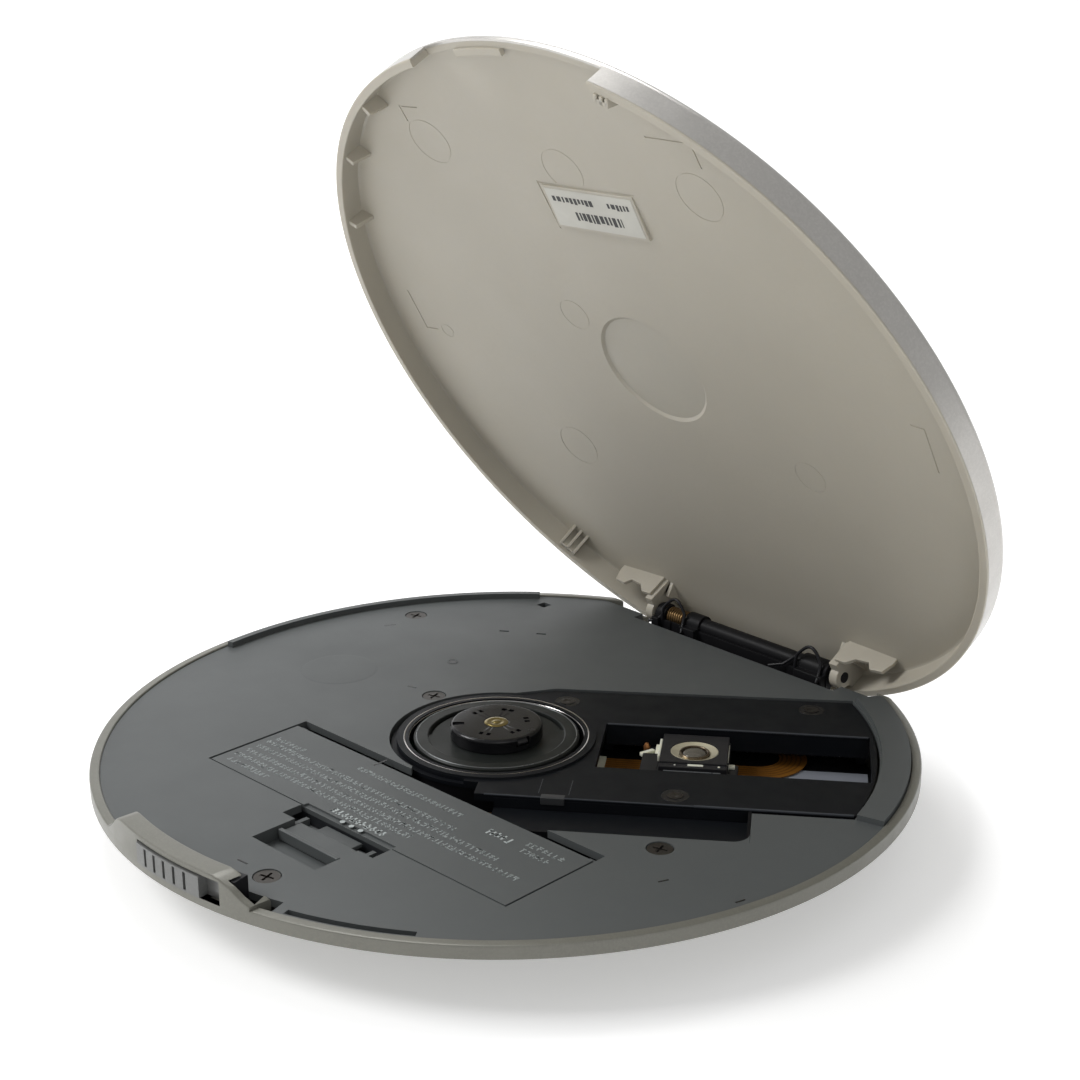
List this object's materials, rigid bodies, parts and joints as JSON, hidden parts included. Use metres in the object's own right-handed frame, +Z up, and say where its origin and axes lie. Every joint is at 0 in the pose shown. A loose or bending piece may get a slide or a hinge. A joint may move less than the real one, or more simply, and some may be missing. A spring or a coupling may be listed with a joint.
{
  "type": "portable disc player",
  "caption": "Slim round portable disc player with its lid open, a spindle hub, a tracking pickup, a battery door, a headphone socket and push controls.",
  "frame": {"origin": "on the ground under the middle of the round case", "axes": "+Z up, +Y towards the lid hinge, +X to the right; the player stands on its feet, lid open"},
  "size_m": [0.1317, 0.1307, 0.1188],
  "materials": {
    "case_paint": "satin champagne grey",
    "foot_rubber": "matte",
    "deck_plastic": "satin dark grey",
    "door_plastic": "satin dark grey",
    "screw_steel": "dark oxide",
    "board_green": "solder mask",
    "component_black": "matte",
    "socket_black": "satin",
    "cell_wrap": "printed sleeve, blank",
    "contact_metal": "nickel plated",
    "chassis_black": "satin black",
    "stator_copper": "enamelled winding",
    "shaft_steel": "ground",
    "motor_can": "satin",
    "flex_amber": "polyimide",
    "bracket_black": "satin",
    "spring_bronze": "dark bronze",
    "table_grey": "matte grey-green",
    "hub_black": "satin black",
    "bush_brass": "turned",
    "pickup_black": "satin",
    "lens_cup": "satin",
    "lens_glass": "clear coated",
    "gear_white": "acetal",
    "pinion_brass": "turned",
    "hook_black": "satin",
    "slide_silver": "satin silver",
    "button_silver": "satin silver",
    "lid_paint": "metallic silver flake",
    "lid_cream": "translucent satin",
    "label_grey": "satin, blank"
  },
  "bodies": {
    "base": {"lower_case": "case_paint", "rubber_feet": "foot_rubber", "chassis_dampers": "foot_rubber", "deck_plate": "deck_plastic", "deck_screws": "screw_steel", "chassis_screws": "screw_steel", "main_board": "board_green", "board_parts": "component_black", "key_switches": "component_black", "lid_switch": "component_black", "headphone_jack": "socket_black", "dc_jack": "socket_black", "battery_bay": "socket_black", "battery_cell": "cell_wrap", "contact_spring": "contact_metal", "contact_plate": "contact_metal", "mechanism_chassis": "chassis_black", "motor_stator": "stator_copper", "guide_shaft": "shaft_steel", "hinge_shaft": "shaft_steel", "sled_motor": "motor_can", "flex_cable": "flex_amber", "hinge_bracket": "bracket_black", "torsion_spring": "spring_bronze"},
    "spindle": {"spindle_rotor": "motor_can", "spindle_shaft": "shaft_steel", "turntable": "table_grey", "hub_cap": "hub_black", "hub_claws": "hub_black", "centre_bush": "bush_brass"},
    "sled": {"sled_base": "pickup_black", "pickup_cover": "pickup_black", "screw_follower": "gear_white"},
    "lens": {"lens_holder": "lens_cup", "objective_lens": "lens_glass"},
    "feed_screw": {"lead_screw": "shaft_steel", "screw_gear": "gear_white"},
    "pinion": {"motor_pinion": "pinion_brass"},
    "open_switch": {"open_slide": "slide_silver", "latch_hook": "hook_black"},
    "battery_door": {"battery_door": "door_plastic"},
    "door_latch": {"door_latch": "door_plastic"},
    "hold": {"hold_switch": "slide_silver"},
    "play": {"play_button": "button_silver"},
    "stop": {"stop_button": "button_silver"},
    "vol_up": {"volume_up": "button_silver"},
    "vol_down": {"volume_down": "button_silver"},
    "lid": {"lid_skin": "lid_paint", "lid_liner": "lid_cream", "lid_catch": "component_black", "lid_label": "label_grey"}
  },
  "joints": [
    {"name": "lid_hinge", "type": "hinge", "parent": "base", "child": "lid", "pos_m": [0, 0.0564, 0.0111], "axis": [-1, 0, 0], "range_deg": [-60, 0], "stiffness_Nm_per_rad": 0.065, "springref_deg": 14.73},
    {"name": "spindle_spin", "type": "hinge", "parent": "base", "child": "spindle", "pos_m": [-0.0009, -0.0014, 0.01], "axis": [0, 0, 1], "continuous": true},
    {"name": "sled_slide", "type": "slide", "parent": "base", "child": "sled", "axis": [0.7705, 0.6374, 0], "range_m": [-0.00902, 0.02202]},
    {"name": "lens_focus", "type": "slide", "parent": "sled", "child": "lens", "axis": [0, 0, 1], "range_m": [-0.00015, 0.0005], "stiffness_N_per_m": 100},
    {"name": "feed_screw_spin", "type": "hinge", "parent": "base", "child": "feed_screw", "pos_m": [0.00311, 0.01619, 0.0056], "axis": [0.7705, 0.6374, 0], "range_deg": [-1982, 812]},
    {"name": "pinion_spin", "type": "hinge", "parent": "base", "child": "pinion", "pos_m": [0.0005, 0.01934, 0.0056], "axis": [0.7705, 0.6374, 0], "range_deg": [-1624, 3964]},
    {"name": "open_slide_turn", "type": "hinge", "parent": "base", "child": "open_switch", "pos_m": [0, 0, 0.012], "axis": [0, 0, 1], "range_deg": [0, 2.8], "stiffness_Nm_per_rad": 0.5, "springref_deg": -1.15},
    {"name": "battery_door_hinge", "type": "hinge", "parent": "base", "child": "battery_door", "pos_m": [0.00711, -0.02016, 0.00895], "axis": [-0.9983, -0.0576, 0], "range_deg": [0, 90]},
    {"name": "door_latch_slide", "type": "slide", "parent": "base", "child": "door_latch", "axis": [0.0576, -0.9983, 0], "range_m": [0, 0.0022], "stiffness_N_per_m": 120, "springref_m": -0.002},
    {"name": "hold_slide", "type": "slide", "parent": "base", "child": "hold", "axis": [-0.3665, -0.9304, 0], "range_m": [0, 0.004]},
    {"name": "play_press", "type": "slide", "parent": "base", "child": "play", "axis": [0.9763, -0.2164, 0], "range_m": [0, 0.0006], "stiffness_N_per_m": 600, "springref_m": -0.0002},
    {"name": "stop_press", "type": "slide", "parent": "base", "child": "stop", "axis": [0.9962, -0.0872, 0], "range_m": [0, 0.0006], "stiffness_N_per_m": 600, "springref_m": -0.0002},
    {"name": "volume_up_press", "type": "slide", "parent": "base", "child": "vol_up", "axis": [0.999, 0.0436, 0], "range_m": [0, 0.0006], "stiffness_N_per_m": 600, "springref_m": -0.0002},
    {"name": "volume_down_press", "type": "slide", "parent": "base", "child": "vol_down", "axis": [0.9848, 0.1736, 0], "range_m": [0, 0.0006], "stiffness_N_per_m": 600, "springref_m": -0.0002}
  ],
  "couplings": [
    {"joint": "feed_screw_spin", "follows": "sled_slide", "rad_per_m": -1570.8},
    {"joint": "pinion_spin", "follows": "sled_slide", "rad_per_m": 3141.6}
  ]
}
